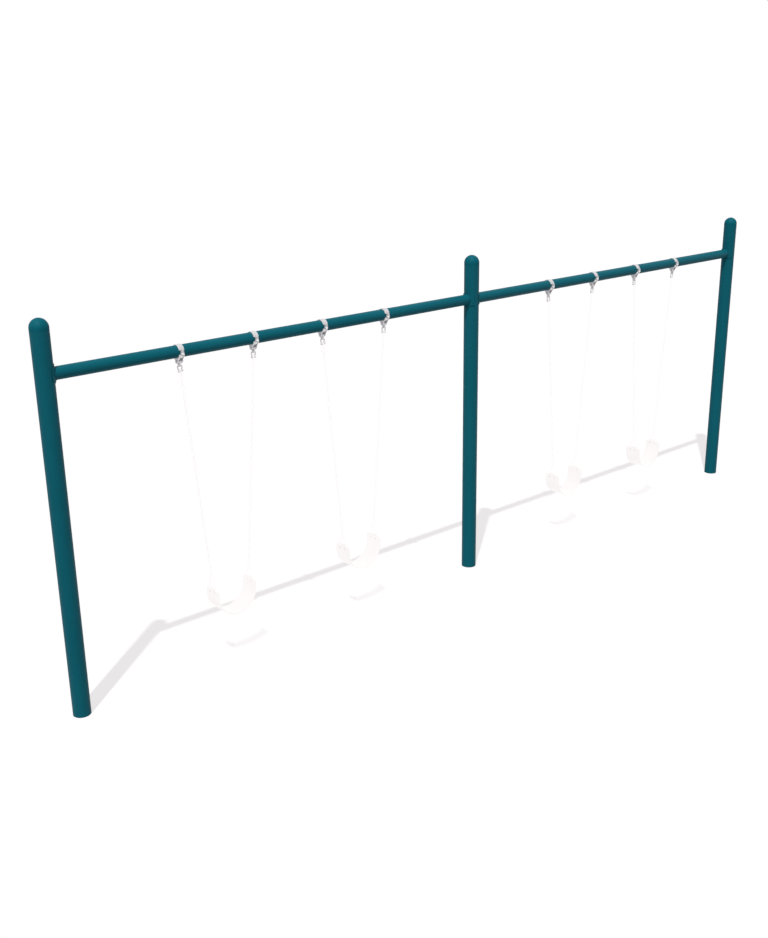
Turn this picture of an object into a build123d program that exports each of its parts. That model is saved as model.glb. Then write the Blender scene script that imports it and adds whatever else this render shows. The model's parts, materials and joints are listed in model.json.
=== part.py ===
from build123d import *
import os
from math import acos, asin, atan2, cos, degrees, hypot, radians, sin, tan

# Two-bay swing frame on three posts, with four belt swings. Millimetres.
# +X runs along the top rails from the left post to the right one, +Y is the swinging
# direction, +Z is up. The origin is at grade, on the axis of the middle post.

os.makedirs("parts", exist_ok=True)

X_DIR, Y_DIR, Z_DIR = (1, 0, 0), (0, 1, 0), (0, 0, 1)
REACH = 100.0              # how far cutting tools extend from their centre


# ---------------------------------------------------------------------------
# helpers
# ---------------------------------------------------------------------------
def save(name, shapes):
    """Write one node: a single solid, or a group of separate solids."""
    if not isinstance(shapes, list):
        shapes = [shapes]
    solids = [solid for shape in shapes for solid in shape.solids()]
    export_step(solids[0] if len(solids) == 1 else Compound(solids), f"parts/{name}.step")


def cyl(start, direction, radius, length):
    """Cylinder that begins at start and runs along direction."""
    base = Plane(origin=start, z_dir=direction)
    return base * Cylinder(radius, length, align=(Align.CENTER, Align.CENTER, Align.MIN))


def cyl_between(start, end, radius):
    run = Vector(end) - Vector(start)
    return cyl(start, run, radius, run.length)


def x_cyl(x_start, x_end, radius, z=0.0):
    """Cylinder along +X from x_start to x_end."""
    return cyl((x_start, 0, z), X_DIR, radius, x_end - x_start)


def through(centre, direction, radius):
    """Cutting cylinder that extends REACH both ways from centre."""
    start = Vector(centre) - Vector(direction) * REACH
    return cyl(start, direction, radius, 2 * REACH)


def radial(angle):
    """Horizontal unit vector at an angle in degrees from +X."""
    return Vector(cos(radians(angle)), sin(radians(angle)), 0)


def round_end(body, radius, side=1):
    """Round the circular edge furthest towards +X (side 1) or -X (side -1)."""
    rims = body.edges().filter_by(GeomType.CIRCLE).sort_by(Axis.X)
    return fillet(rims[-1] if side > 0 else rims[0], radius)


def hex_prism(across_flats, height):
    return extrude(RegularPolygon(across_flats / 2, 6, major_radius=False), height)


def hexagon(start, direction, across_flats, height):
    """Hexagon prism with its outer corners turned off, as on a bolt head."""
    chamfer_width, chamfer_height = 1.0, 0.6
    place = Plane(origin=start, z_dir=direction).location
    corner_r = across_flats / 2 / cos(radians(30))
    profile = Polygon(
        (0, 0),
        (corner_r, 0),
        (corner_r, height - chamfer_height),
        (corner_r - chamfer_width, height),
        (0, height),
        align=None,
    )
    turned = revolve(Plane.XZ * profile, Axis.Z)
    return (place * hex_prism(across_flats, height)) & (place * turned)


def make_nut(start, direction, across_flats, height, bore_r):
    return hexagon(start, direction, across_flats, height) - through(start, direction, bore_r)


def bent_loop(corners, bend_r, bar_r):
    """Closed loop of round bar: straight lengths joined by bends of one centre-line radius."""
    points = [Vector(*corner) for corner in corners]
    count = len(points)
    bends = []
    for i, corner in enumerate(points):
        dir_in = (corner - points[i - 1]).normalized()
        dir_out = (points[(i + 1) % count] - corner).normalized()
        turn = dir_in.get_angle(dir_out)
        setback = bend_r * tan(radians(turn / 2))
        bends.append((corner - dir_in * setback, corner + dir_out * setback, dir_in, dir_out, turn))
    body = None
    for i in range(count):
        leg = cyl_between(bends[i][1], bends[(i + 1) % count][0], bar_r)
        body = leg if body is None else body + leg
    for bend_start, _, dir_in, dir_out, turn in bends:
        axis = dir_in.cross(dir_out).normalized()
        centre = bend_start + axis.cross(dir_in) * bend_r
        section = Plane(origin=bend_start, z_dir=dir_in) * Circle(bar_r)
        body = body + revolve(section, Axis(centre, axis), turn)
    return body


# ---------------------------------------------------------------------------
# driving dimensions of the frame
# ---------------------------------------------------------------------------
POST_R = 127.0 / 2         # 5 in tube
POST_WALL = 3.0
POST_SPACING = 3840.0      # post axis to post axis
RAIL_R = 88.9 / 2          # 3.5 in tube
RAIL_WALL = 3.0
RAIL_Z = 2438.0            # rail axis above grade, 8 ft
TOP_Z = 2806.0             # top of the domed caps

# post name: x of its axis, and the sides (+1 or -1 in X) that carry a rail
POSTS = {
    "left": (-POST_SPACING, [1]),
    "middle": (0.0, [-1, 1]),
    "right": (POST_SPACING, [-1]),
}
SIDE_ANGLE = {1: 0.0, -1: 180.0}

# ---------------------------------------------------------------------------
# posts, caps and cap rivets
# ---------------------------------------------------------------------------
CAP_SKIRT = 16.0           # straight band of the cap above the seam
CAP_WALL = 3.0
SPIGOT_LEN = 30.0
SPIGOT_R = POST_R - POST_WALL - 0.3
CAP_INNER_R = SPIGOT_R - CAP_WALL
DOME_Z = TOP_Z - POST_R    # base of the dome, local origin of the cap
SEAM_Z = DOME_Z - CAP_SKIRT
GROOVE_H = 1.2             # fine groove round the cap at the seam
GROOVE_DEPTH = 0.9

CAP_RIVET_Z = SEAM_Z - 15.0
CAP_RIVET_ANGLES = (60.0, 180.0, 300.0)
CAP_RIVET_R = 2.4
CAP_RIVET_HOLE_R = 2.5     # in the post
CAP_RIVET_HEAD_R = 4.2
CAP_RIVET_HEAD_H = 1.3
CAP_RIVET_HEAD_SINK = 0.3  # head starts this far inside the post surface
CAP_RIVET_HEAD_ROUND = 0.7
CAP_RIVET_TAIL = 2.0       # shank beyond the inside of the spigot

BOLT_DZ = (-57.5, 57.5)    # saddle bolts, from the rail axis
SLEEVE_R = 6.5             # threaded insert in the post wall
CUT_PAST = 5.0             # drilled holes run this far past a surface


def make_post(sides):
    tube = cyl((0, 0, 0), Z_DIR, POST_R, SEAM_Z)
    tube -= cyl((0, 0, -1), Z_DIR, POST_R - POST_WALL, SEAM_Z + 2)
    for side in sides:
        for dz in BOLT_DZ:
            towards = radial(SIDE_ANGLE[side])
            tube -= cyl((0, 0, RAIL_Z + dz), towards, SLEEVE_R, POST_R + CUT_PAST)
    for angle in CAP_RIVET_ANGLES:
        tube -= cyl((0, 0, CAP_RIVET_Z), radial(angle), CAP_RIVET_HOLE_R, POST_R + CUT_PAST)
    return tube


def make_half_sphere(radius):
    return Sphere(radius) & Pos(0, 0, radius / 2) * Box(2 * REACH, 2 * REACH, radius)


def make_cap():
    """Domed shell with a straight skirt and a spigot inside the post."""
    spigot_z = -CAP_SKIRT - SPIGOT_LEN
    skirt = cyl((0, 0, -CAP_SKIRT), Z_DIR, POST_R, CAP_SKIRT)
    spigot = cyl((0, 0, spigot_z), Z_DIR, SPIGOT_R, SPIGOT_LEN)
    hollow = cyl((0, 0, spigot_z - 1), Z_DIR, CAP_INNER_R, 1 - spigot_z)
    cap = make_half_sphere(POST_R) + skirt + spigot - hollow - make_half_sphere(CAP_INNER_R)
    groove = cyl((0, 0, -CAP_SKIRT), Z_DIR, POST_R + 2, GROOVE_H)
    cap -= groove - through((0, 0, 0), Z_DIR, POST_R - GROOVE_DEPTH)
    for angle in CAP_RIVET_ANGLES:
        start = (0, 0, CAP_RIVET_Z - DOME_Z)
        cap -= cyl(start, radial(angle), CAP_RIVET_R, POST_R + CUT_PAST)
    return cap


def make_cap_rivet():
    """Along +X from the post axis: shank into the spigot, low head outside the post."""
    shank = x_cyl(CAP_INNER_R - CAP_RIVET_TAIL, POST_R, CAP_RIVET_R)
    head = cyl((POST_R - CAP_RIVET_HEAD_SINK, 0, 0), X_DIR, CAP_RIVET_HEAD_R, CAP_RIVET_HEAD_H)
    head -= through((0, 0, 0), Z_DIR, POST_R)
    return shank + round_end(head, CAP_RIVET_HEAD_ROUND)


cap, cap_rivet = make_cap(), make_cap_rivet()
cap_rivets = []
for name, (post_x, sides) in POSTS.items():
    save(f"post_{name}", Pos(post_x, 0, 0) * make_post(sides))
    save(f"cap_{name}", Pos(post_x, 0, DOME_Z) * cap)
    for angle in CAP_RIVET_ANGLES:
        cap_rivets.append(Pos(post_x, 0, CAP_RIVET_Z) * Rot(0, 0, angle) * cap_rivet)
save("cap_rivets", cap_rivets)

# ---------------------------------------------------------------------------
# rails, saddle plates, saddle bolts and threaded inserts
# the X values here are measured from the post axis
# ---------------------------------------------------------------------------
PLATE_R = POST_R + 6.0     # outer face of the 6 mm saddle plate
PLATE_HALF_ANGLE = 39.5    # the plate is about as wide as the rail tube
PLATE_H = 137.0
PLATE_CORNER = 4.0
PLATE_HOLE_R = 5.3
SPOT_X = PLATE_R - 0.75    # flat seat of a bolt head
SPOT_R = 8.6

BOLT_R = 5.0
BOLT_TIP_X = 46.0
BOLT_HEAD_R = 8.2
BOLT_HEAD_H = 3.4
BOLT_HEAD_ROUND = 2.4
SOCKET_FLATS = 6.0
SOCKET_FLOOR = 1.2         # above the seat

BARREL_X = 48.0            # insert: barrel, then collar, then sleeve, going outwards
COLLAR_X = 56.0
COLLAR_R = 8.5
SLEEVE_X = 59.8
SLEEVE_END_X = 63.0


def make_rail():
    """Tube from post axis to post axis, its ends coped to the saddle plates."""
    tube = x_cyl(0, POST_SPACING, RAIL_R, RAIL_Z)
    tube -= x_cyl(-1, POST_SPACING + 1, RAIL_R - RAIL_WALL, RAIL_Z)
    for x in (0.0, POST_SPACING):
        tube -= through((x, 0, RAIL_Z), Z_DIR, PLATE_R)
    return tube


def make_plate():
    """Curved plate facing +X, centred on the rail axis."""
    shell = cyl((0, 0, -PLATE_H / 2), Z_DIR, PLATE_R, PLATE_H)
    shell -= through((0, 0, 0), Z_DIR, POST_R)
    width = 2 * PLATE_R * sin(radians(PLATE_HALF_ANGLE))
    outline = RectangleRounded(width, PLATE_H, PLATE_CORNER)
    plate = shell & extrude(Plane(origin=(30, 0, 0), z_dir=X_DIR) * outline, 60)
    for dz in BOLT_DZ:
        plate -= x_cyl(0, PLATE_R + CUT_PAST, PLATE_HOLE_R, dz)
        plate -= x_cyl(SPOT_X, SPOT_X + CUT_PAST, SPOT_R, dz)
    return plate


def make_saddle_bolt():
    """Along +X: button head on the spot face, with a hexagon socket."""
    shank = x_cyl(BOLT_TIP_X, SPOT_X, BOLT_R)
    head = round_end(x_cyl(SPOT_X, SPOT_X + BOLT_HEAD_H, BOLT_HEAD_R), BOLT_HEAD_ROUND)
    socket_floor = Plane(origin=(SPOT_X + SOCKET_FLOOR, 0, 0), z_dir=X_DIR)
    return shank + head - socket_floor.location * hex_prism(SOCKET_FLATS, 5)


def make_insert():
    """Rivet nut along +X: sleeve in the post wall, collar and barrel inside it."""
    sleeve = x_cyl(SLEEVE_X, SLEEVE_END_X, SLEEVE_R)
    collar = x_cyl(COLLAR_X, SLEEVE_X, COLLAR_R)
    barrel = x_cyl(BARREL_X, COLLAR_X, SLEEVE_R)
    return sleeve + collar + barrel - through((0, 0, 0), X_DIR, BOLT_R)


rail = make_rail()
save("rail_left", Pos(-POST_SPACING, 0, 0) * rail)
save("rail_right", rail)

plate, saddle_bolt, insert = make_plate(), make_saddle_bolt(), make_insert()
plates, saddle_bolts, inserts = [], [], []
for post_x, sides in POSTS.values():
    for side in sides:
        joint = Pos(post_x, 0, RAIL_Z) * Rot(0, 0, SIDE_ANGLE[side])
        plates.append(joint * plate)
        for dz in BOLT_DZ:
            saddle_bolts.append(joint * Pos(0, 0, dz) * saddle_bolt)
            inserts.append(joint * Pos(0, 0, dz) * insert)
save("saddle_plates", plates)
save("saddle_bolts", saddle_bolts)
save("threaded_inserts", inserts)

# ---------------------------------------------------------------------------
# hanger clamps: upper saddle, lower yoke, bolts, pivot pin
# local origin on the rail axis
# ---------------------------------------------------------------------------
SWING_X = (-2548.0, -1294.5, 1294.5, 2548.0)   # swing centres
HANGER_HALF = 310.0        # hanger to swing centre

CLAMP_IN_R = RAIL_R + 0.05
CLAMP_OUT_R = CLAMP_IN_R + 6.0
CLAMP_W = 42.0             # along the rail, for the saddle and over the yoke cheeks
CLAMP_ROUND = 1.5          # outer rims of the saddle
NECK_W = 20.0              # lug and neck width along the rail
BAND_Z = 15.0              # the wide band stops this far from the rail axis
SPLIT = 0.5                # half the gap between the clamp halves
LUG_T = 12.5
LUG_ROOT_Y = 38.0
LUG_END_Y = 66.0
LUG_CORNER = 7.0
CLAMP_BOLT_Y = 57.5
CLAMP_HOLE_R = 4.3

CHEEK_T = 4.0
CHEEK_ROUND = 9.0
PIVOT_Z = -72.0            # pivot pin axis
PIVOT_R = 5.0
EYE_END_R = 14.0           # round ends of the cheeks and of the pendulum plate
# right half of a cheek seen along -X, as (y, z), from the band down to the round end
CHEEK_HALF = [(47.0, -BAND_Z), (45.0, -28.0), (30.0, -47.0), (14.0, -71.0)]

CLAMP_BOLT_R = 3.95
CLAMP_BOLT_TIP_Z = -27.5
CLAMP_BOLT_FLATS = 13.0
CLAMP_HEAD_H = 5.3
CLAMP_NUT_H = 6.8
WASHER_T = 2.0
WASHER_IN_R = CLAMP_BOLT_R + 0.2
WASHER_OUT_R = 8.0
LUG_TOP = SPLIT + LUG_T
WASHER_TOP = LUG_TOP + WASHER_T

PIVOT_FLATS = 16.0
PIVOT_HEAD_H = 6.4
PIVOT_NUT_H = 8.4
PIVOT_THREAD = 11.0        # pin beyond the yoke on the nut side


def make_half_band(up):
    """Upper (up = 1) or lower (-1) half of the clamp, narrowed to a neck near the split."""
    body = x_cyl(-CLAMP_W / 2, CLAMP_W / 2, CLAMP_OUT_R)
    body &= Pos(0, 0, up * (SPLIT + REACH / 2)) * Box(2 * REACH, 2 * REACH, REACH)
    for side in (1, -1):
        body -= Pos(side * (NECK_W + REACH) / 2, 0, 0) * Box(REACH, 2 * REACH, 2 * BAND_Z)
    return body


def make_lug(side, up):
    centre = (0, side * (LUG_ROOT_Y + LUG_END_Y) / 2, up * (SPLIT + LUG_T / 2))
    pad = Pos(*centre) * Box(NECK_W, LUG_END_Y - LUG_ROOT_Y, LUG_T)
    corners = pad.edges().filter_by(Axis.Z).sort_by(Axis.Y)
    return fillet(corners[-2:] if side > 0 else corners[:2], LUG_CORNER)


def cut_clamp_bores(body):
    """Bore for the rail and the two clamp bolt holes."""
    body -= through((0, 0, 0), X_DIR, CLAMP_IN_R)
    for side in (1, -1):
        body -= through((0, side * CLAMP_BOLT_Y, 0), Z_DIR, CLAMP_HOLE_R)
    return body


def is_saddle_rim(edge):
    at_end = abs(abs(edge.center().X) - CLAMP_W / 2) < 0.01
    return at_end and abs(edge.radius - CLAMP_OUT_R) < 0.01


def make_saddle():
    body = cut_clamp_bores(make_half_band(1) + make_lug(1, 1) + make_lug(-1, 1))
    rims = body.edges().filter_by(GeomType.CIRCLE).filter_by(is_saddle_rim)
    return fillet(rims, CLAMP_ROUND)


def make_cheek():
    """Side plate of the yoke on its +X side."""
    mirrored = [(-y, z) for y, z in reversed(CHEEK_HALF)]
    outline = Polygon(*CHEEK_HALF, *mirrored, align=None) + Pos(0, PIVOT_Z) * Circle(EYE_END_R)
    rounded_z = [z for _, z in CHEEK_HALF[1:3]]
    corners = [v for v in outline.vertices() if any(abs(v.Y - z) < 0.1 for z in rounded_z)]
    face = Plane(origin=(CLAMP_W / 2 - CHEEK_T, 0, 0), x_dir=Y_DIR, z_dir=X_DIR)
    return extrude(face * fillet(corners, CHEEK_ROUND), CHEEK_T, dir=X_DIR)


def make_yoke():
    cheek = make_cheek()
    body = make_half_band(-1) + make_lug(1, -1) + make_lug(-1, -1)
    body = cut_clamp_bores(body + cheek + Rot(0, 0, 180) * cheek)
    return body - through((0, 0, PIVOT_Z), X_DIR, PIVOT_R + 0.1)


def make_clamp_bolt():
    head = hexagon((0, 0, WASHER_TOP), Z_DIR, CLAMP_BOLT_FLATS, CLAMP_HEAD_H)
    return head + cyl_between((0, 0, CLAMP_BOLT_TIP_Z), (0, 0, WASHER_TOP), CLAMP_BOLT_R)


def make_washer():
    return cyl((0, 0, 0), Z_DIR, WASHER_OUT_R, WASHER_T) - through((0, 0, 0), Z_DIR, WASHER_IN_R)


def make_clamp_nut():
    start = (0, 0, -WASHER_TOP)
    return make_nut(start, (0, 0, -1), CLAMP_BOLT_FLATS, CLAMP_NUT_H, CLAMP_BOLT_R)


def make_pivot_pin():
    shank = x_cyl(-CLAMP_W / 2, CLAMP_W / 2 + PIVOT_THREAD, PIVOT_R, PIVOT_Z)
    return shank + hexagon((-CLAMP_W / 2, 0, PIVOT_Z), (-1, 0, 0), PIVOT_FLATS, PIVOT_HEAD_H)


def make_pivot_nut():
    return make_nut((CLAMP_W / 2, 0, PIVOT_Z), X_DIR, PIVOT_FLATS, PIVOT_NUT_H, PIVOT_R)


washer = make_washer()
hanger_parts = {
    "hanger_saddles": make_saddle(),
    "hanger_yokes": make_yoke(),
    "pivot_pins": make_pivot_pin(),
    "pivot_nuts": make_pivot_nut(),
}
# parts that repeat at each of the two bolts of a clamp
bolt_parts = [
    ("clamp_bolts", make_clamp_bolt()),
    ("clamp_nuts", make_clamp_nut()),
    ("clamp_washers", Pos(0, 0, LUG_TOP) * washer),
    ("clamp_washers", Pos(0, 0, -WASHER_TOP) * washer),
]
hangers = [Pos(x + side * HANGER_HALF, 0, RAIL_Z) for x in SWING_X for side in (-1, 1)]
for name, part in hanger_parts.items():
    save(name, [place * part for place in hangers])

groups = {name: [] for name, _ in bolt_parts}
for place in hangers:
    for side in (1, -1):
        for name, part in bolt_parts:
            groups[name].append(place * Pos(0, side * CLAMP_BOLT_Y, 0) * part)
for name, parts in groups.items():
    save(name, parts)

# ---------------------------------------------------------------------------
# pendulum plate and bushing, local origin on the pivot pin axis
# ---------------------------------------------------------------------------
CROWN_DROP = 24.0          # shackle crown bar centre below the pivot pin
EYE_Z = -CROWN_DROP - 0.1  # the crown bar sits just above the centre of the eye
EYE_R = 7.0
PENDULUM_T = 10.0
HUB_R = 12.0
HUB_HALF = 16.0
PENDULUM_TOP_R = HUB_R - 1.0
BUSH_BORE_R = 5.05
BUSH_R = 8.0
BUSH_FLANGE_R = 10.5
BUSH_FLANGE_T = 0.8


def make_pendulum():
    """Plate tapering between two round ends, with a hub on the pivot."""
    slope = asin((EYE_END_R - PENDULUM_TOP_R) / -EYE_Z)
    normal_y, normal_z = cos(slope), sin(slope)
    tangent_points = [
        (PENDULUM_TOP_R * normal_y, PENDULUM_TOP_R * normal_z),
        (EYE_END_R * normal_y, EYE_Z + EYE_END_R * normal_z),
    ]
    mirrored = [(-y, z) for y, z in reversed(tangent_points)]
    web = Polygon(*tangent_points, *mirrored, align=None)
    outline = Circle(PENDULUM_TOP_R) + Pos(0, EYE_Z) * Circle(EYE_END_R) + web
    face = Plane(origin=(-PENDULUM_T / 2, 0, 0), x_dir=Y_DIR, z_dir=X_DIR)
    body = extrude(face * outline, PENDULUM_T, dir=X_DIR) + x_cyl(-HUB_HALF, HUB_HALF, HUB_R)
    body -= through((0, 0, 0), X_DIR, BUSH_R)
    return body - through((0, 0, EYE_Z), X_DIR, EYE_R)


def make_bushing():
    sleeve = x_cyl(-HUB_HALF, HUB_HALF, BUSH_R)
    for side in (1, -1):
        sleeve += cyl((side * HUB_HALF, 0, 0), (side, 0, 0), BUSH_FLANGE_R, BUSH_FLANGE_T)
    return sleeve - through((0, 0, 0), X_DIR, BUSH_BORE_R)


# ---------------------------------------------------------------------------
# bow shackle and its pin, local origin at the crown bar centre
# ---------------------------------------------------------------------------
SHACKLE_BAR_R = 5.0
BOW_R = 17.5               # centre line of the bow
BOW_ANGLE = 130.0          # from the crown down each side
EAR_X = 11.0
EAR_HALF = 5.0
EAR_R = 9.0
EAR_ROUND = 1.0
SHACKLE_PIN_Z = -44.0
SHACKLE_PIN_R = 4.0
PIN_HEAD_R = 7.0
PIN_HEAD_H = 5.0
PIN_HEAD_ROUND = 1.5


def make_shackle():
    """Bow, a reverse bend back to vertical, a short leg and an ear, on both sides."""
    crown = Plane(origin=(0, 0, 0), z_dir=X_DIR) * Circle(SHACKLE_BAR_R)
    half = revolve(crown, Axis((0, 0, -BOW_R), Y_DIR), BOW_ANGLE)
    bow_end_x = BOW_R * sin(radians(BOW_ANGLE))
    bow_end_z = -BOW_R + BOW_R * cos(radians(BOW_ANGLE))
    bow_end = Vector(bow_end_x, 0, bow_end_z)
    heading = Vector(cos(radians(BOW_ANGLE)), 0, -sin(radians(BOW_ANGLE)))

    back_angle = BOW_ANGLE - 90.0
    back_r = (bow_end_x - EAR_X) / (1 - cos(radians(back_angle)))
    axis = Vector(0, -1, 0)
    section = Plane(origin=bow_end, z_dir=heading) * Circle(SHACKLE_BAR_R)
    half += revolve(section, Axis(bow_end + axis.cross(heading) * back_r, axis), back_angle)

    leg_top_z = bow_end_z - back_r * sin(radians(back_angle))
    half += cyl_between((EAR_X, 0, leg_top_z), (EAR_X, 0, SHACKLE_PIN_Z), SHACKLE_BAR_R)
    ear = x_cyl(EAR_X - EAR_HALF, EAR_X + EAR_HALF, EAR_R, SHACKLE_PIN_Z)
    half += fillet(ear.edges().filter_by(GeomType.CIRCLE), EAR_ROUND)
    body = half + Rot(0, 0, 180) * half
    return body - through((0, 0, SHACKLE_PIN_Z), X_DIR, SHACKLE_PIN_R + 0.05)


def make_shackle_pin():
    end_x = EAR_X + EAR_HALF
    head = x_cyl(end_x, end_x + PIN_HEAD_H, PIN_HEAD_R, SHACKLE_PIN_Z)
    return x_cyl(-end_x, end_x, SHACKLE_PIN_R, SHACKLE_PIN_Z) + round_end(head, PIN_HEAD_ROUND)


# ---------------------------------------------------------------------------
# chain and the line it hangs along
# ---------------------------------------------------------------------------
LINKS = 46                 # the last one is the wider connecting link
PITCH = 35.35
LINK_WIRE = 5.5
LINK_W = 21.0
LINK_GAP = 0.15
CONN_WIRE = 6.0
CONN_W = 26.0
TWIST_PER_LINK = 9.0
TWIST_LINKS = 5            # the twist builds up, and unwinds, over this many links
APEX_HALF = 165.0          # chain end to swing centre

# distances along the line are measured from the crown bar centre
CHAIN_START = -SHACKLE_PIN_Z - SHACKLE_PIN_R
CHAIN_END = CHAIN_START + LINKS * PITCH
LEAN = asin((HANGER_HALF - APEX_HALF) / CHAIN_END)
SEAT_AXIS_DROP = CHAIN_END + LINK_GAP / 2 + CONN_WIRE / 2   # last link's lower bend
SEAT_AXIS_X = HANGER_HALF - SEAT_AXIS_DROP * sin(LEAN)
SEAT_AXIS_Z = RAIL_Z + PIVOT_Z - CROWN_DROP - SEAT_AXIS_DROP * cos(LEAN)


def make_link(wire, width):
    """Chain link in the YZ plane, long axis along Z, centred."""
    wire_r = wire / 2
    bend_r = (width - wire) / 2
    half_leg = (PITCH + LINK_GAP - 2 * (bend_r - wire_r)) / 2
    legs = [cyl((0, s * bend_r, -half_leg), Z_DIR, wire_r, 2 * half_leg) for s in (1, -1)]
    body = legs[0] + legs[1]
    for s in (1, -1):
        section = Plane(origin=(0, bend_r, s * half_leg), z_dir=Z_DIR) * Circle(wire_r)
        body = body + revolve(section, Axis((0, 0, s * half_leg), (s, 0, 0)), 180)
    return body


# ---------------------------------------------------------------------------
# triangle link: stands in a YZ plane, local x = 0, z above grade
# ---------------------------------------------------------------------------
TRI_R = 3.5                # wire radius
TRI_APEX_R_IN = 5.0
TRI_BASE_DROP = 73.3       # apex centre line down to the base bar
TRI_BASE_HALF = 50.0       # sharp corner of the base, before bending
TRI_BEND = TRI_APEX_R_IN + TRI_R

APEX_IN_Z = SEAT_AXIS_Z + CONN_WIRE / 2 + 0.1
ARC_Z = APEX_IN_Z - TRI_APEX_R_IN
APEX_Z = APEX_IN_Z + TRI_R
BASE_Z = APEX_Z - TRI_BASE_DROP
TRI_X = SEAT_AXIS_X + (APEX_Z - SEAT_AXIS_Z) * sin(LEAN)


def make_triangle():
    height = ARC_Z - BASE_Z
    half_apex = acos(TRI_BEND / hypot(TRI_BASE_HALF, height)) - atan2(height, TRI_BASE_HALF)
    vertex_z = ARC_Z + TRI_BEND / sin(half_apex)
    corners = [(0, 0, vertex_z), (0, TRI_BASE_HALF, BASE_Z), (0, -TRI_BASE_HALF, BASE_Z)]
    return bent_loop(corners, TRI_BEND, TRI_R)


# ---------------------------------------------------------------------------
# belt seat: a wide strap bent into a U, with an eye at each end around the
# triangle's base bar, a thin insert inside and rivets; local x = 0 at its middle
# ---------------------------------------------------------------------------
BELT_T = 10.0
BELT_HALF_W = 84.0
BELT_BOTTOM_Z = 380.0
BELT_CORNER = 24.0
BELT_R = TRI_X             # middle surface of the U
BELT_ARC_Z = BELT_BOTTOM_Z + BELT_T / 2 + BELT_R
SHOULDER_Z = BASE_Z - 6.0  # top of the full-width strap
NECK_BOTTOM_Z = SHOULDER_Z - 10.0
BELT_EYE_R = 9.0
BELT_EYE_HALF = 34.5
INSERT_T = 1.2
INSERT_HALF_W = 40.0
INSERT_TOP_Z = BASE_Z - 16.0
RIVET_Z = BASE_Z - 30.0
RIVET_Y = 28.0
RIVET_R = 3.0
RIVET_HEAD_R = 7.0
RIVET_HEAD_H = 2.0
RIVET_HEAD_ROUND = 1.2


def make_u_strip(thickness, top_z, half_w):
    outer_r, inner_r = BELT_R + thickness / 2, BELT_R - thickness / 2
    leg_h = top_z - BELT_ARC_Z
    mid_z = (BELT_ARC_Z + top_z) / 2
    outer = Pos(0, BELT_ARC_Z) * Circle(outer_r)
    outer += Pos(0, mid_z) * Rectangle(2 * outer_r, leg_h)
    inner = Pos(0, BELT_ARC_Z) * Circle(inner_r)
    inner += Pos(0, mid_z + 50) * Rectangle(2 * inner_r, leg_h + 100)
    above = Pos(0, top_z + 200) * Rectangle(1000, 400)
    side_view = Plane(origin=(0, 0, 0), x_dir=X_DIR, z_dir=(0, -1, 0))
    return extrude(side_view * (outer - inner - above), half_w, both=True)


def make_belt():
    # the mask rounds the shoulders at both ends of the strap
    outline = Pos(0, SHOULDER_Z - 200) * RectangleRounded(2 * BELT_HALF_W, 400, BELT_CORNER)
    end_view = Plane(origin=(-300, 0, 0), x_dir=Y_DIR, z_dir=X_DIR)
    belt = make_u_strip(BELT_T, SHOULDER_Z, BELT_HALF_W) & extrude(end_view * outline, 600)
    neck = Box(BELT_T, 2 * BELT_EYE_HALF, BASE_Z - NECK_BOTTOM_Z)
    for side in (1, -1):
        x = side * BELT_R
        belt += Pos(x, 0, (BASE_Z + NECK_BOTTOM_Z) / 2) * neck
        belt += cyl((x, -BELT_EYE_HALF, BASE_Z), Y_DIR, BELT_EYE_R, 2 * BELT_EYE_HALF)
    for side in (1, -1):
        belt -= through((side * BELT_R, 0, BASE_Z), Y_DIR, TRI_R + 0.1)
    return belt


def make_belt_rivet(x, y):
    """Shank through the belt, with a rounded head on each face."""
    rivet = cyl((x - BELT_T / 2, y, RIVET_Z), X_DIR, RIVET_R, BELT_T)
    for side in (1, -1):
        face = (x + side * BELT_T / 2, y, RIVET_Z)
        head = cyl(face, (side, 0, 0), RIVET_HEAD_R, RIVET_HEAD_H)
        rivet += round_end(head, RIVET_HEAD_ROUND, side)
    return rivet


belt_insert = make_u_strip(INSERT_T, INSERT_TOP_Z, INSERT_HALF_W)
belt = make_belt() - belt_insert
belt_rivets = []
for x in (BELT_R, -BELT_R):
    for y in (-RIVET_Y, RIVET_Y):
        hole = through((x, y, RIVET_Z), X_DIR, RIVET_R)
        belt -= hole
        belt_insert -= hole
        belt_rivets.append(make_belt_rivet(x, y))

# ---------------------------------------------------------------------------
# four swings
# ---------------------------------------------------------------------------
pendulum, bushing = make_pendulum(), make_bushing()
shackle, shackle_pin = make_shackle(), make_shackle_pin()
link, connecting_link = make_link(LINK_WIRE, LINK_W), make_link(CONN_WIRE, CONN_W)
triangle = make_triangle()


def place_links(line, side):
    """All links of one chain; every other one is turned a quarter about the line."""
    placed = []
    for i in range(1, LINKS + 1):
        quarter = 90.0 if i % 2 == 0 else 0.0
        turn = quarter + side * TWIST_PER_LINK * min(i - 1, TWIST_LINKS, LINKS - i)
        place = line * Pos(0, 0, -CHAIN_START - (i - 0.5) * PITCH) * Rot(0, 0, turn)
        placed.append(place * (connecting_link if i == LINKS else link))
    return placed


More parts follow.
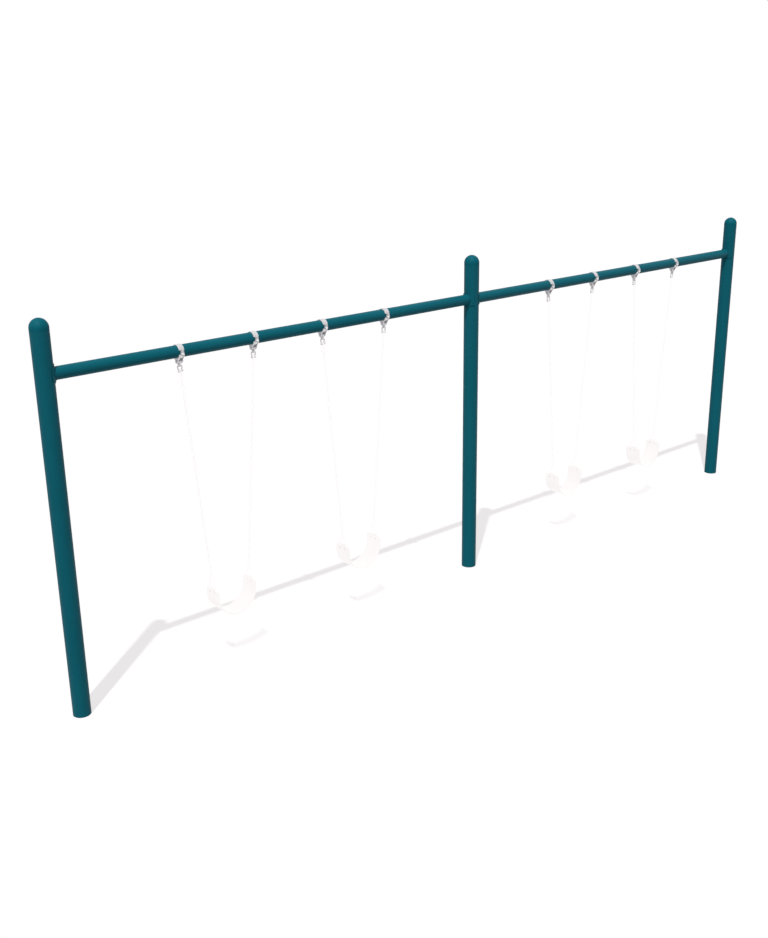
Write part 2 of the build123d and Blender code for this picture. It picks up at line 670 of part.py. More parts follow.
for k, swing_x in enumerate(SWING_X, start=1):
    names = ("pendulums", "bushings", "shackles", "shackle_pins",
             "chains", "connecting_links", "triangles")
    swing = {name: [] for name in names}
    for side in (-1, 1):
        pivot = Pos(swing_x + side * HANGER_HALF, 0, RAIL_Z + PIVOT_Z)
        line = pivot * Pos(0, 0, -CROWN_DROP) * Rot(0, side * degrees(LEAN), 0)
        swing["pendulums"].append(pivot * pendulum)
        swing["bushings"].append(pivot * bushing)
        swing["shackles"].append(line * shackle)
        swing["shackle_pins"].append(line * shackle_pin)
        placed_links = place_links(line, side)
        swing["chains"] += placed_links[:-1]
        swing["connecting_links"].append(placed_links[-1])
        swing["triangles"].append(Pos(swing_x + side * TRI_X, 0, 0) * triangle)
    for name, parts in swing.items():
        save(f"{name}_{k}", parts)
    centre = Pos(swing_x, 0, 0)
    save(f"belt_{k}", centre * belt)
    save(f"belt_insert_{k}", centre * belt_insert)
    save(f"belt_rivets_{k}", [centre * rivet for rivet in belt_rivets])
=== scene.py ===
import json
import math

import bmesh
import bpy
from mathutils import Matrix, Vector


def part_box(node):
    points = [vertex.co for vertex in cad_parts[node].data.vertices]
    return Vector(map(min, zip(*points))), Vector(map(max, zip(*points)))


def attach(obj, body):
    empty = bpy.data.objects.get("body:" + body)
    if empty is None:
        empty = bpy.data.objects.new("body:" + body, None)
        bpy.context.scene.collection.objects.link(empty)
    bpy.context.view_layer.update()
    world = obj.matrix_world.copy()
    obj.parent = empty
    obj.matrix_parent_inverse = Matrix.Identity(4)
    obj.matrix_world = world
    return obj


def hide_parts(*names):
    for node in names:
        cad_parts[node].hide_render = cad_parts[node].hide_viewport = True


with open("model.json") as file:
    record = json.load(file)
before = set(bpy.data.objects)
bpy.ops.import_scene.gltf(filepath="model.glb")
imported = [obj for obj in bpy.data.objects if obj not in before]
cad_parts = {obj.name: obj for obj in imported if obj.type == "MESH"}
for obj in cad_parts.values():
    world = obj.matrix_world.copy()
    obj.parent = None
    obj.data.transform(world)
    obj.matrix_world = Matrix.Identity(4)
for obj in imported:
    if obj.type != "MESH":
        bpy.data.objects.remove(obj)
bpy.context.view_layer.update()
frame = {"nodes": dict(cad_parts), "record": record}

SWINGS = (1, 2, 3, 4)


# ---------------------------------------------------------------------------
# shader nodes
# ---------------------------------------------------------------------------
class Nodes:
    """Adds nodes to an emptied tree. Most methods return the new node's output."""

    def __init__(self, tree):
        self.tree = tree
        tree.nodes.clear()

    def add(self, kind, **properties):
        node = self.tree.nodes.new("ShaderNode" + kind)
        for name, value in properties.items():
            setattr(node, name, value)
        return node

    def feed(self, socket, value):
        """Link an output to the socket, or set its number, vector or RGB colour."""
        if isinstance(value, bpy.types.NodeSocket):
            self.tree.links.new(value, socket)
        elif isinstance(value, tuple):
            socket.default_value = (*value, 1)[:len(socket.default_value)]
        else:
            socket.default_value = value

    def math(self, operation, a, b):
        node = self.add("Math", operation=operation)
        self.feed(node.inputs[0], a)
        self.feed(node.inputs[1], b)
        return node.outputs[0]

    def remap(self, value, span, to):
        node = self.add("MapRange")
        for socket, limit in zip(node.inputs[1:5], (*span, *to)):
            socket.default_value = limit
        self.feed(node.inputs[0], value)
        return node.outputs[0]

    def ramp(self, factor, stops):
        """Colour ramp through (position, RGB) stops."""
        node = self.add("ValToRGB")
        elements = node.color_ramp.elements
        while len(elements) < len(stops):
            elements.new(0.5)
        for element, (position, colour) in zip(elements, stops):
            element.position = position
            element.color = (*colour, 1)
        self.feed(node.inputs[0], factor)
        return node.outputs[0]

    def mix(self, factor, a, b, mode="MIX"):
        node = self.add("Mix", data_type="RGBA", blend_type=mode)
        # inputs 6 and 7 are the colour pair
        for index, value in ((0, factor), (6, a), (7, b)):
            self.feed(node.inputs[index], value)
        return node.outputs[2]


class Surface(Nodes):
    """A new Principled material, with textures in object coordinates."""

    def __init__(self, name):
        self.material = bpy.data.materials.new(name)
        self.material.use_nodes = True
        super().__init__(self.material.node_tree)
        self.output = self.add("OutputMaterial")
        self.bsdf = self.add("BsdfPrincipled")
        self.feed(self.output.inputs[0], self.bsdf.outputs[0])
        self.coords = self.add("TexCoord").outputs["Object"]

    def set(self, name, value):
        self.feed(self.bsdf.inputs[name], value)

    def stretched(self, scale):
        node = self.add("Mapping")
        self.feed(node.inputs["Scale"], scale)
        self.feed(node.inputs[0], self.coords)
        return node.outputs[0]

    def noise(self, scale, detail=3.0, rough=0.55, distort=0.0, coords=None):
        node = self.add("TexNoise")
        self.feed(node.inputs["Scale"], scale)
        self.feed(node.inputs["Detail"], detail)
        self.feed(node.inputs["Roughness"], rough)
        self.feed(node.inputs["Distortion"], distort)
        self.feed(node.inputs["Vector"], coords or self.coords)
        return node.outputs["Fac"]

    def voronoi(self, scale, feature="F1", randomness=1.0):
        """Returns the node, since callers use different outputs."""
        node = self.add("TexVoronoi", feature=feature)
        self.feed(node.inputs["Scale"], scale)
        self.feed(node.inputs["Randomness"], randomness)
        self.feed(node.inputs["Vector"], self.coords)
        return node

    def bump(self, height, strength, distance, normal=None):
        node = self.add("Bump")
        self.feed(node.inputs["Strength"], strength)
        self.feed(node.inputs["Distance"], distance)
        self.feed(node.inputs["Height"], height)
        if normal is not None:
            self.feed(node.inputs["Normal"], normal)
        return node.outputs[0]

    def edge_mask(self, radius, gain):
        """Bright on edges: the difference between a rounded and the true normal."""
        bevel = self.add("Bevel", samples=4)
        self.feed(bevel.inputs["Radius"], radius)
        geometry = self.add("NewGeometry")
        dot = self.add("VectorMath", operation="DOT_PRODUCT")
        self.feed(dot.inputs[0], bevel.outputs[0])
        self.feed(dot.inputs[1], geometry.outputs["Normal"])
        turn = self.math("SUBTRACT", 1.0, dot.outputs["Value"])
        return self.math("MINIMUM", self.math("MULTIPLY", turn, gain), 1.0)

    def pass_light(self, share):
        """Let a share of the light through, so a pale piece throws a faint shadow."""
        path = self.add("LightPath")
        clear = self.add("BsdfTransparent")
        mixed = self.add("MixShader")
        factor = self.math("MULTIPLY", path.outputs["Is Shadow Ray"], share)
        self.feed(mixed.inputs[0], factor)
        self.feed(mixed.inputs[1], self.bsdf.outputs[0])
        self.feed(mixed.inputs[2], clear.outputs[0])
        self.feed(self.output.inputs[0], mixed.outputs[0])


# ---------------------------------------------------------------------------
# materials
# ---------------------------------------------------------------------------
TEAL = (0.0026, 0.128, 0.172)
TEAL_LIGHT = (0.0038, 0.135, 0.181)
TEAL_DARK = (0.0018, 0.121, 0.163)
TEAL_CHALKED = (0.012, 0.19, 0.245)
TEAL_SCRATCHED = (0.010, 0.150, 0.196)


def powder_coat(name, scuff=0.0, specular=0.10, extra_rough=0.0):
    s = Surface(name)
    broad = s.noise(scale=1.7, detail=4, rough=0.6)
    colour = s.ramp(broad, [(0.30, TEAL_DARK), (0.5, TEAL), (0.72, TEAL_LIGHT)])
    fine = s.noise(scale=160, detail=3, rough=0.6)
    colour = s.mix(s.remap(fine, span=(0.35, 0.7), to=(0.0, 0.10)), colour, TEAL_LIGHT)
    # light chalking on exposed edges
    edges = s.edge_mask(radius=0.0016, gain=5.0)
    colour = s.mix(s.math("MULTIPLY", edges, 0.22), colour, TEAL_CHALKED)
    if scuff:
        stretched = s.stretched((9, 9, 90))
        scratches = s.noise(scale=14, detail=5, rough=0.7, distort=0.6, coords=stretched)
        amount = s.remap(scratches, span=(0.66, 0.74), to=(0.0, scuff))
        colour = s.mix(amount, colour, TEAL_SCRATCHED)
    s.set("Base Color", colour)
    orange_peel = s.noise(scale=420, detail=2, rough=0.5)
    micro = s.noise(scale=2600, detail=2, rough=0.5)
    normal = s.bump(orange_peel, strength=0.32, distance=0.00035)
    s.set("Normal", s.bump(micro, strength=0.22, distance=0.0001, normal=normal))
    patches = s.noise(scale=30, detail=4, rough=0.65)
    to = (0.36 + extra_rough, 0.47 + extra_rough)
    s.set("Roughness", s.remap(patches, span=(0.3, 0.7), to=to))
    s.set("Specular IOR Level", specular)
    return s.material


def galvanised(name, tones, metallic, rough, spangle, grain, grain_strength,
               painted_shade=0.0, reach=0.02, glow=0.0, passes=0.0, body=1.0):
    """Mottled metal. tones: dark, mid and light. spangle and grain: texture scales.

    painted_shade darkens hollows up to reach deep with painted shade, glow is emission
    strength, passes is the share of light let through and body scales the base colour only.
    """
    dark, mid, light = tones
    s = Surface(name)
    cells = s.voronoi(scale=spangle)
    channels = s.add("SeparateColor")
    s.feed(channels.inputs[0], cells.outputs["Color"])
    patch = s.noise(scale=55, detail=4, rough=0.6)
    cell_part = s.math("MULTIPLY", channels.outputs[0], 0.45)
    mottle = s.math("ADD", cell_part, s.math("MULTIPLY", patch, 0.6))
    colour = s.ramp(mottle, [(0.15, dark), (0.5, mid), (0.9, light)])
    edges = s.math("MULTIPLY", s.edge_mask(radius=0.0012, gain=6.0), 0.5)
    colour = s.mix(edges, colour, tuple(min(1.0, c * 1.08) for c in light))
    # painted shade: ambient occlusion darkens hollows and the gaps between parts
    if painted_shade:
        occlusion = s.add("AmbientOcclusion", samples=4)
        s.feed(occlusion.inputs["Distance"], reach)
        span = (0.45, 0.92) if reach > 0.03 else (0.25, 0.85)
        hollow_shade = s.remap(occlusion.outputs["AO"], span=span, to=(painted_shade, 0.0))
        # the painted shade darkens towards this grey
        colour = s.mix(hollow_shade, colour, (0.20, 0.19, 0.21))
    base = colour
    if body != 1.0:
        base = s.mix(1.0, colour, (body, body, body), mode="MULTIPLY")
    s.set("Base Color", base)
    s.set("Metallic", metallic)
    cell_part = s.math("MULTIPLY", channels.outputs[1], 0.5)
    mottle = s.math("ADD", cell_part, s.math("MULTIPLY", patch, 0.5))
    s.set("Roughness", s.remap(mottle, span=(0.2, 0.8), to=(rough - 0.07, rough + 0.08)))
    fine = s.noise(scale=grain, detail=3, rough=0.6)
    normal = s.bump(fine, strength=grain_strength, distance=0.00018)
    waves = s.noise(scale=180, detail=3, rough=0.5)
    s.set("Normal", s.bump(waves, strength=0.25, distance=0.0006, normal=normal))
    if glow:
        s.set("Emission Color", colour)
        s.set("Emission Strength", glow)
    if passes:
        s.pass_light(passes)
    return s.material


def rubber(name):
    """Pale moulded rubber: its tone is mostly emission, over a dim base colour."""
    base_share = 0.08
    s = Surface(name)
    broad = s.noise(scale=9, detail=4, rough=0.6)
    colour = s.ramp(broad, [(0.25, (0.972, 0.940, 0.935)), (0.55, (1.0, 0.968, 0.963)),
                            (0.8, (1.0, 0.974, 0.970))])
    stretched = s.stretched((18, 60, 18))
    scuff = s.noise(scale=5, detail=6, rough=0.7, distort=0.4, coords=stretched)
    amount = s.remap(scuff, span=(0.62, 0.76), to=(0.0, 0.35))
    colour = s.mix(amount, colour, (0.945, 0.912, 0.905))
    s.set("Emission Color", colour)
    s.set("Emission Strength", 0.885)
    s.set("Base Color", s.mix(1.0, colour, (base_share,) * 3, mode="MULTIPLY"))
    s.pass_light(0.945)
    pebble = s.voronoi(scale=620, feature="SMOOTH_F1", randomness=0.9)
    s.feed(pebble.inputs["Smoothness"], 0.5)
    height = s.math("SUBTRACT", 1.0, pebble.outputs["Distance"])
    normal = s.bump(height, strength=0.38, distance=0.0005)
    micro = s.noise(scale=2400, detail=2, rough=0.5)
    normal = s.bump(micro, strength=0.2, distance=0.0001, normal=normal)
    waves = s.noise(scale=28, detail=2, rough=0.5)
    s.set("Normal", s.bump(waves, strength=0.25, distance=0.0015, normal=normal))
    patches = s.noise(scale=70, detail=3, rough=0.6)
    s.set("Roughness", s.remap(patches, span=(0.3, 0.7), to=(0.46, 0.60)))
    s.set("Specular IOR Level", 0.38)
    s.set("Subsurface Weight", 0.15)
    s.set("Subsurface Radius", (1.0, 0.82, 0.70))
    s.set("Subsurface Scale", 0.006)
    s.set("Sheen Weight", 0.06)
    return s.material


def bronze(name):
    s = Surface(name)
    mottle = s.noise(scale=220, detail=4, rough=0.6)
    s.set("Base Color", s.ramp(mottle, [(0.3, (0.30, 0.19, 0.09)), (0.6, (0.52, 0.36, 0.18)),
                                        (0.85, (0.66, 0.49, 0.27))]))
    s.set("Metallic", 0.9)
    s.set("Roughness", s.remap(s.noise(scale=500), span=(0.3, 0.7), to=(0.34, 0.5)))
    s.set("Normal", s.bump(s.noise(scale=1500), strength=0.3, distance=0.0001))
    return s.material


frame_coat = powder_coat("teal_powder_coat", scuff=0.10)
cap_coat = powder_coat("teal_powder_coat_cap", specular=0.065, extra_rough=0.06)
fastener_coat = powder_coat("teal_coated_fastener", scuff=0.25)
# painted_shade sets how much painted shade darkens each piece's hollows
hanger_metal = galvanised(
    "galvanised_casting", ((0.60, 0.59, 0.60), (0.72, 0.71, 0.72), (0.84, 0.83, 0.84)),
    metallic=0.20, rough=0.50, spangle=300, grain=1100, grain_strength=0.55,
    painted_shade=0.50, glow=0.04)
yoke_metal = galvanised(
    "galvanised_yoke", ((0.72, 0.71, 0.72), (0.83, 0.82, 0.83), (0.92, 0.91, 0.92)),
    metallic=0.10, rough=0.48, spangle=300, grain=1100, grain_strength=0.45,
    painted_shade=0.95, reach=0.080, glow=0.44)
pendulum_metal = galvanised(
    "galvanised_pendulum", ((0.66, 0.65, 0.66), (0.78, 0.77, 0.78), (0.90, 0.89, 0.90)),
    metallic=0.10, rough=0.45, spangle=360, grain=1300, grain_strength=0.35,
    painted_shade=1.00, reach=0.070, glow=0.42)
shackle_metal = galvanised(
    "galvanised_forging", ((0.66, 0.655, 0.655), (0.78, 0.775, 0.775), (0.90, 0.895, 0.89)),
    metallic=0.15, rough=0.42, spangle=420, grain=1500, grain_strength=0.30,
    painted_shade=0.32, glow=0.31)
zinc = galvanised(
    "zinc_plated_fastener", ((0.70, 0.70, 0.71), (0.82, 0.82, 0.83), (0.93, 0.93, 0.93)),
    metallic=0.70, rough=0.30, spangle=700, grain=2400, grain_strength=0.20, painted_shade=0.35)
pin_metal = galvanised(
    "zinc_plated_pin", ((0.34, 0.34, 0.35), (0.44, 0.44, 0.45), (0.58, 0.58, 0.58)),
    metallic=0.70, rough=0.34, spangle=700, grain=2400, grain_strength=0.20, painted_shade=0.45)
chain_metal = galvanised(
    "galvanised_chain_steel",
    ((0.65, 0.638, 0.634), (0.71, 0.698, 0.694), (0.77, 0.762, 0.759)),
    metallic=0.0, rough=0.50, spangle=520, grain=1800, grain_strength=0.22,
    glow=1.13, passes=0.93, body=0.22)
belt_rubber = rubber("moulded_rubber")
rivet_metal = galvanised(
    "belt_rivet_steel", ((0.62, 0.61, 0.60), (0.74, 0.73, 0.72), (0.88, 0.87, 0.86)),
    metallic=0.30, rough=0.38, spangle=700, grain=2400, grain_strength=0.20,
    glow=0.25, passes=0.80)
bushing_bronze = bronze("sintered_bronze")
spring_metal = galvanised(
    "blued_spring_steel", ((0.16, 0.17, 0.19), (0.24, 0.25, 0.28), (0.34, 0.35, 0.38)),
    metallic=0.9, rough=0.38, spangle=600, grain=1800, grain_strength=0.2, passes=0.80)

BY_SLOT = {
    "frame_powder_coat": frame_coat,
    "cap_powder_coat": cap_coat,
    "coated_fastener": fastener_coat,
    "cast_hanger": hanger_metal,
    "galvanised_shackle": shackle_metal,
    "zinc_fastener": zinc,
    "galvanised_chain": chain_metal,
    "bushing_bronze": bushing_bronze,
    "belt_rubber": belt_rubber,
    "spring_steel": spring_metal,
}
# pieces whose name starts like this have their own material instead of their slot's
BY_PREFIX = {
    "hanger_yokes": yoke_metal,
    "pendulums_": pendulum_metal,
    "shackle_pins_": pin_metal,
    "belt_rivets_": rivet_metal,
}
for part in frame["record"]["subparts"]:
    piece = frame["nodes"][part["node"]]
    material = BY_SLOT[part["material_slot"]]
    for prefix, special in BY_PREFIX.items():
        if part["node"].startswith(prefix):
            material = special
    if not piece.material_slots:
        piece.data.materials.append(material)
    for slot in piece.material_slots:
        slot.material = material


# ---------------------------------------------------------------------------
# mesh helpers
# ---------------------------------------------------------------------------
def add_object(name, data):
    obj = bpy.data.objects.new(name, data)
    bpy.context.scene.collection.objects.link(obj)
    return obj


def add_mesh(name, bm, material, sharp_degrees):
    bmesh.ops.recalc_face_normals(bm, faces=bm.faces)
    mesh = bpy.data.meshes.new(name)
    bm.to_mesh(mesh)
    bm.free()
    mesh.materials.append(material)
    for polygon in mesh.polygons:
        polygon.use_smooth = True
    mesh.set_sharp_from_angle(angle=math.radians(sharp_degrees))
    return add_object(name, mesh)


def bridge(bm, ring_a, ring_b):
    """Quads between two closed rings of vertices."""
    count = len(ring_a)
    for i in range(count):
        j = (i + 1) % count
        bm.faces.new((ring_a[i], ring_a[j], ring_b[j], ring_b[i]))


def join(obj, tool):
    """Merge the tool's shape into the object and delete the tool."""
    modifier = obj.modifiers.new("join_eye", "BOOLEAN")
    modifier.operation = "UNION"
    modifier.solver = "EXACT"
    modifier.object = tool
    depsgraph = bpy.context.evaluated_depsgraph_get()
    joined = bpy.data.meshes.new_from_object(obj.evaluated_get(depsgraph))
    obj.modifiers.clear()
    old_meshes = (obj.data, tool.data)
    obj.data = joined
    bpy.data.objects.remove(tool)
    for mesh in old_meshes:
        bpy.data.meshes.remove(mesh)


# ---------------------------------------------------------------------------
# belt seats: moulded strap with a raised border, thicker end pads and an eye
# round the base bar of each triangle. Built round X = 0, then moved to each swing.
# ---------------------------------------------------------------------------
belt_lo, belt_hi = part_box("belt_1")
EYE_R = 0.009
HALF_T = 0.005
BEND_R = (belt_hi.x - belt_lo.x) / 2 - EYE_R  # to the middle of the strap
BAR_Z = belt_hi.z - EYE_R
HALF_W = (belt_hi.y - belt_lo.y) / 2
BEND_Z = belt_lo.z + HALF_T + BEND_R
STRAP_TOP = BAR_Z - 0.006
STRAIGHT = STRAP_TOP - BEND_Z
LENGTH = 2 * STRAIGHT + math.pi * BEND_R
CORNER_R = 0.024  # rounded corners at the strap's ends

BORDER_HALF_T = 0.0049
FIELD_HALF_T = 0.0040
BORDER_W = 0.0085
BORDER_SLOPE = 0.0045  # width of the step from border to field
PAD_L = 0.046
PAD_SLOPE = 0.012
SIDE_ROUND = 0.0042
END_ROUND = 0.0035

# distances from the strap's end, packed close over the rounding and pad
END_STATIONS = [
    0.0, 0.0004, 0.001, 0.0018, 0.0028, 0.004, 0.006, 0.0085, 0.011, 0.014,
    0.017, 0.020, 0.024, 0.028, 0.032, 0.0355, 0.039, 0.0425, 0.046, 0.050,
]
MID_STEPS = 96
# distances in from the strap's side edge, as far as the flat field
SIDE_STATIONS = [
    0.0, 0.0002, 0.0007, 0.0015, 0.0026, 0.0042, 0.0062, 0.0085, 0.0100, 0.0115, 0.0130,
]
FIELD_STEPS = 7


def smooth(t):
    t = max(0.0, min(1.0, t))
    return t * t * (3 - 2 * t)


def belt_point(along, outward):
    """(x, z) at an arc length from the -X end, offset outward from the strap's middle."""
    if along < STRAIGHT:
        return (-BEND_R - outward, STRAP_TOP - along)
    if along > LENGTH - STRAIGHT:
        return (BEND_R + outward, STRAP_TOP - (LENGTH - along))
    angle = (along - STRAIGHT) / BEND_R
    radius = BEND_R + outward
    return (-radius * math.cos(angle), BEND_Z - radius * math.sin(angle))


def half_thickness(from_side, from_end):
    half = BORDER_HALF_T + (FIELD_HALF_T - BORDER_HALF_T) * smooth(
        (from_side - BORDER_W) / BORDER_SLOPE)
    half += (BORDER_HALF_T - half) * smooth((PAD_L - from_end) / PAD_SLOPE)
    if from_side < SIDE_ROUND:
        half *= math.sqrt(max(0.0, 1 - (1 - from_side / SIDE_ROUND) ** 2))
    if from_end < END_ROUND:
        half *= 0.42 + 0.58 * math.sqrt(max(0.0, 1 - (1 - from_end / END_ROUND) ** 2))
    return half


def belt_strap():
    last, inner = END_STATIONS[-1], SIDE_STATIONS[-1]
    middle = [last + (LENGTH - 2 * last) * k / MID_STEPS for k in range(1, MID_STEPS)]
    stations = END_STATIONS + middle + [LENGTH - e for e in reversed(END_STATIONS)]
    bm = bmesh.new()
    rings = []
    for along in stations:
        from_end = min(along, LENGTH - along)
        width = HALF_W
        if from_end < CORNER_R:
            reach = math.sqrt(max(0.0, CORNER_R**2 - (CORNER_R - from_end) ** 2))
            width = HALF_W - CORNER_R + reach
        half_row = SIDE_STATIONS + [
            inner + (width - inner) * k / FIELD_STEPS for k in range(1, FIELD_STEPS + 1)]
        row = [(-(width - d), d) for d in half_row]
        row += [(width - d, d) for d in reversed(half_row[:-1])]
        outside = [(y, half_thickness(d, from_end)) for y, d in row]
        inside = [(y, -half) for y, half in reversed(outside[1:-1])]
        ring = []
        for y, outward in outside + inside:
            x, z = belt_point(along, outward)
            ring.append(bm.verts.new((x, y, z)))
        rings.append(ring)
    for ring, following in zip(rings, rings[1:]):
        bridge(bm, ring, following)
    bm.faces.new(list(reversed(rings[0])))
    bm.faces.new(rings[-1])
    return bm


EYE_HALF_W = 0.0345
BORE_R = 0.0038
EYE_FOOT_Z = -0.030  # from the bar
EYE_ARC_START = math.radians(-32)
EYE_ARC_STEPS = 26
EYE_SIDE_STEPS = 8
BORE_SEGMENTS = 28
EYE_CENTRE_Z = -0.004  # the outline shrinks towards this point at the eye's ends
# (y, inset of the outline), rounding over both ends
EYE_SECTIONS = [
    (-EYE_HALF_W, 0.0020), (-EYE_HALF_W + 0.0005, 0.0009), (-EYE_HALF_W + 0.002, 0.0),
    (EYE_HALF_W - 0.002, 0.0), (EYE_HALF_W - 0.0005, 0.0009), (EYE_HALF_W, 0.0020),
]


def eye_outline():
    """(x, z) round the bar and down both sides to the foot."""
    radius = EYE_R - 0.0002
    outline = []
    for k in range(EYE_ARC_STEPS + 1):
        angle = EYE_ARC_START + (math.pi - 2 * EYE_ARC_START) * k / EYE_ARC_STEPS
        outline.append((radius * math.cos(angle), radius * math.sin(angle)))
    x0, z0 = outline[-1]
    side = []
    for k in range(1, EYE_SIDE_STEPS + 1):
        t = k / EYE_SIDE_STEPS
        x = x0 + (-(HALF_T - 0.0006) - x0) * smooth(t)
        side.append((x, z0 + (EYE_FOOT_Z - z0) * t))
    return outline + side + [(-x, z) for x, z in reversed(side)]


def shrunk(outline, inset):
    points = []
    for x, z in outline:
        distance = math.hypot(x, z - EYE_CENTRE_Z)
        factor = (distance - inset) / distance
        points.append((x * factor, EYE_CENTRE_Z + (z - EYE_CENTRE_Z) * factor))
    return points


def belt_eye(sign):
    """Sleeve moulded round the base bar, running down into the strap, with a bore."""
    bm = bmesh.new()

    def ring_at(y, points):
        return [bm.verts.new((sign * BEND_R + x, y, BAR_Z + z)) for x, z in points]

    outline = eye_outline()
    rings = [ring_at(y, shrunk(outline, inset)) for y, inset in EYE_SECTIONS]
    for ring, following in zip(rings, rings[1:]):
        bridge(bm, ring, following)
    angles = [2 * math.pi * k / BORE_SEGMENTS for k in range(BORE_SEGMENTS)]
    bore = [(BORE_R * math.cos(a), BORE_R * math.sin(a)) for a in angles]
    near, far = [ring_at(y, bore) for y in (-EYE_HALF_W, EYE_HALF_W)]
    for i in range(BORE_SEGMENTS):
        j = (i + 1) % BORE_SEGMENTS
        bm.faces.new((near[i], far[i], far[j], near[j]))
    for ring, hole in ((rings[0], near), (rings[-1], far)):
        edges = [bm.edges.get((loop[i], loop[(i + 1) % len(loop)]))
                 for loop in (ring, hole) for i in range(len(loop))]
        bmesh.ops.triangle_fill(bm, edges=edges, use_beauty=True)
    return bm


def belt_mesh():
    strap = add_mesh("belt_strap_base", belt_strap(), belt_rubber, sharp_degrees=50)
    for sign in (-1, 1):
        join(strap, add_mesh("belt_eye_tool", belt_eye(sign), belt_rubber, sharp_degrees=50))
    mesh = strap.data
    bm = bmesh.new()
    bm.from_mesh(mesh)
    bmesh.ops.remove_doubles(bm, verts=bm.verts, dist=1e-6)
    bmesh.ops.recalc_face_normals(bm, faces=bm.faces)
    bm.to_mesh(mesh)
    bm.free()
    mesh.set_sharp_from_angle(angle=math.radians(50))
    bpy.data.objects.remove(strap)
    return mesh


base_mesh = belt_mesh()
for k in SWINGS:
    lo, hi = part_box(f"belt_{k}")
    mesh = base_mesh.copy()
    mesh.name = f"belt_seat_{k}"
    mesh.transform(Matrix.Translation(((lo.x + hi.x) / 2, 0, 0)))
    seat = add_object(f"belt_seat_{k}", mesh)
    # in case the union left the mesh without its material
    if not mesh.materials:
        mesh.materials.append(belt_rubber)
    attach(seat, f"seat_{k}")
    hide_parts(f"belt_{k}")
bpy.data.meshes.remove(base_mesh)


# ---------------------------------------------------------------------------
# weld beads where each rail end meets its saddle plate
# ---------------------------------------------------------------------------
PLATE_T = 0.006
BEAD_R = 0.0030
RIPPLE_H = 0.0005
RIPPLES = 74
BEAD_STEPS = 330
BEAD_SEGMENTS = 12

rail_lo, rail_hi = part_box("rail_left")
RAIL_R = (rail_hi.z - rail_lo.z) / 2
RAIL_Z = (rail_hi.z + rail_lo.z) / 2


def weld_bead(name, post_x, side, plate_r, phase):
    """Rippled ring in the corner between the rail and the curved plate."""
    path_r = RAIL_R + 0.0010
    turns = [2 * math.pi * k / BEAD_STEPS for k in range(BEAD_STEPS)]
    path = []
    for t in turns:
        y, z = path_r * math.cos(t), path_r * math.sin(t)
        x = math.sqrt((plate_r + 0.0008) ** 2 - y * y)
        path.append(Vector((post_x + side * x, y, RAIL_Z + z)))
    bm = bmesh.new()
    loops = []
    for k, t in enumerate(turns):
        tangent = (path[(k + 1) % BEAD_STEPS] - path[k - 1]).normalized()
        radial = Vector((0, math.cos(t), math.sin(t)))
        across = (radial - tangent * radial.dot(tangent)).normalized()
        normal = tangent.cross(across)
        ripple = abs(math.sin(RIPPLES * t / 2 + phase))
        wander = 1 + 0.05 * math.sin(5 * t + phase) + 0.04 * math.sin(11 * t + 2 * phase)
        r = (BEAD_R + RIPPLE_H * ripple) * wander
        loop = []
        for i in range(BEAD_SEGMENTS):
            a = 2 * math.pi * i / BEAD_SEGMENTS
            offset = across * (r * math.cos(a))
            loop.append(bm.verts.new(path[k] + offset + normal * (r * math.sin(a))))
        loops.append(loop)
    for k in range(BEAD_STEPS):
        bridge(bm, loops[k], loops[(k + 1) % BEAD_STEPS])
    bead = add_mesh(name, bm, frame_coat, sharp_degrees=70)
    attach(bead, "frame")


# each post, with the X directions in which a rail leaves it
for post, sides in (("left", (1,)), ("middle", (-1, 1)), ("right", (-1,))):
    lo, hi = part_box(f"post_{post}")
    post_x = (lo.x + hi.x) / 2
    plate_r = (hi.x - lo.x) / 2 + PLATE_T
    for side in sides:
        tag = "right" if side > 0 else "left"
        weld_bead(f"rail_weld_{post}_{tag}", post_x, side, plate_r,
                  phase=1.3 * post_x + side)


# ---------------------------------------------------------------------------
# floor, light, camera
# ---------------------------------------------------------------------------
def pale_floor():
    s = Surface("pale_floor")
    path = s.add("LightPath")
    s.set("Base Color", s.ramp(s.noise(scale=0.6), [(0.3, (0.319, 0.317, 0.318)),
                                                    (0.7, (0.323, 0.321, 0.322))]))
    s.set("Emission Color", (1.0, 0.968, 0.977))
    # glows to the camera and in reflections, without lighting the swing
    seen = s.math("MULTIPLY", path.outputs["Is Camera Ray"], 0.715)
    mirrored = s.math("MULTIPLY", path.outputs["Is Glossy Ray"], 0.40)
    s.set("Emission Strength", s.math("ADD", seen, mirrored))
    s.set("Roughness", 0.95)
    s.set("Specular IOR Level", 0.0)
    return s.material


def add_floor():
    bm = bmesh.new()
    bmesh.ops.create_grid(bm, x_segments=2, y_segments=2, size=120.0)
    mesh = bpy.data.meshes.new("floor")
    bm.to_mesh(mesh)
    bm.free()
    floor = add_object("floor", mesh)
    floor.location.z = -0.0006
    mesh.materials.append(pale_floor())


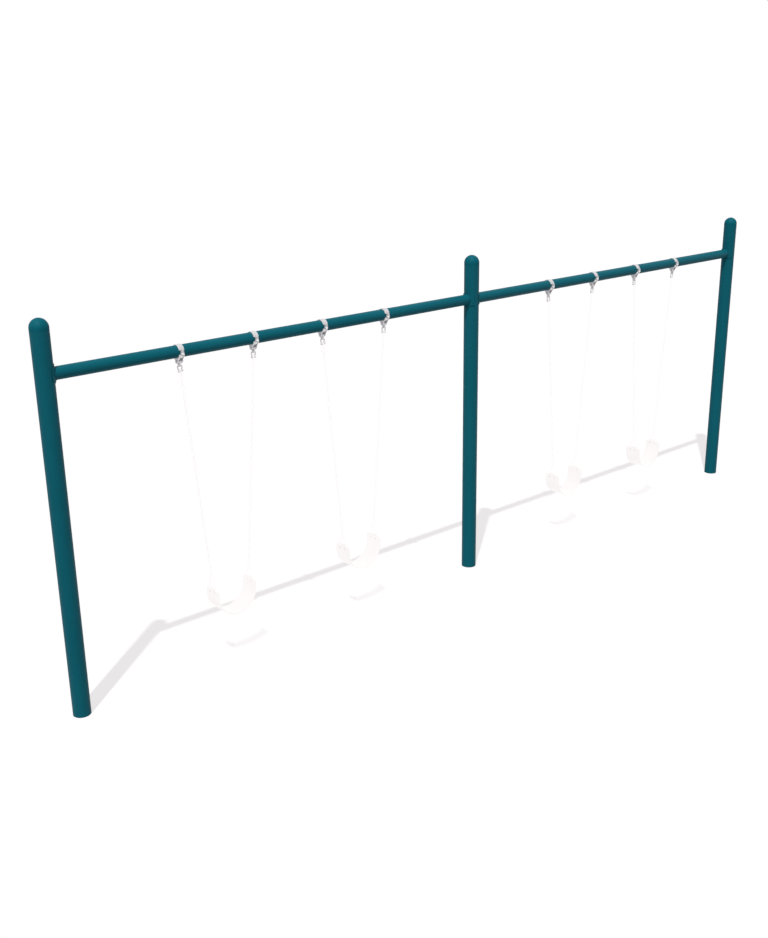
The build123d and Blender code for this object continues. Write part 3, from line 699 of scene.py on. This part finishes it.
def set_world():
    """Soft fill light, brighter in reflections, behind a white backdrop."""
    world = bpy.data.worlds.new("studio")
    bpy.context.scene.world = world
    world.use_nodes = True
    w = Nodes(world.node_tree)
    output = w.add("OutputWorld")
    fill = w.add("Background")
    backdrop = w.add("Background")
    mixed = w.add("MixShader")
    path = w.add("LightPath")
    w.feed(fill.inputs["Color"], (1.0, 0.994, 1.0))
    mirrored = w.math("MULTIPLY", path.outputs["Is Glossy Ray"], 0.40)
    w.feed(fill.inputs["Strength"], w.math("ADD", mirrored, 0.31))
    w.feed(backdrop.inputs["Color"], (1, 1, 1))
    w.feed(backdrop.inputs["Strength"], 1.02)
    w.feed(mixed.inputs[0], path.outputs["Is Camera Ray"])
    w.feed(mixed.inputs[1], fill.outputs[0])
    w.feed(mixed.inputs[2], backdrop.outputs[0])
    w.feed(output.inputs[0], mixed.outputs[0])


def add_sun():
    light = bpy.data.lights.new("key_sun", "SUN")
    light.energy = 2.45
    light.angle = math.radians(1.0)
    sun = add_object("key_sun", light)
    sun.rotation_mode = "QUATERNION"
    sun.rotation_quaternion = Vector((0.4117, 0.3216, -1.0)).to_track_quat("-Z", "Y")


def add_camera():
    data = bpy.data.cameras.new("view_camera")
    data.sensor_width = 36.0
    data.lens = 43.3761916
    data.clip_end = 400.0
    camera = add_object("view_camera", data)
    place = (-6.79052, -6.69130, 4.12335)
    # radians; yaw turns from +Y towards +X
    yaw, pitch, roll = 0.713, -0.32382, -0.01493
    ahead = Vector((math.sin(yaw) * math.cos(pitch), math.cos(yaw) * math.cos(pitch),
                    math.sin(pitch)))
    level = ahead.cross(Vector((0, 0, 1))).normalized()
    upright = level.cross(ahead)
    right = level * math.cos(roll) + upright * math.sin(roll)
    up = upright * math.cos(roll) - level * math.sin(roll)
    rows = [*zip(right, up, -ahead, place), (0, 0, 0, 1)]
    camera.matrix_world = Matrix(rows)
    bpy.context.scene.camera = camera


add_floor()
set_world()
add_sun()
add_camera()
bpy.context.scene.view_settings.view_transform = "Standard"
bpy.context.scene.view_settings.look = "None"
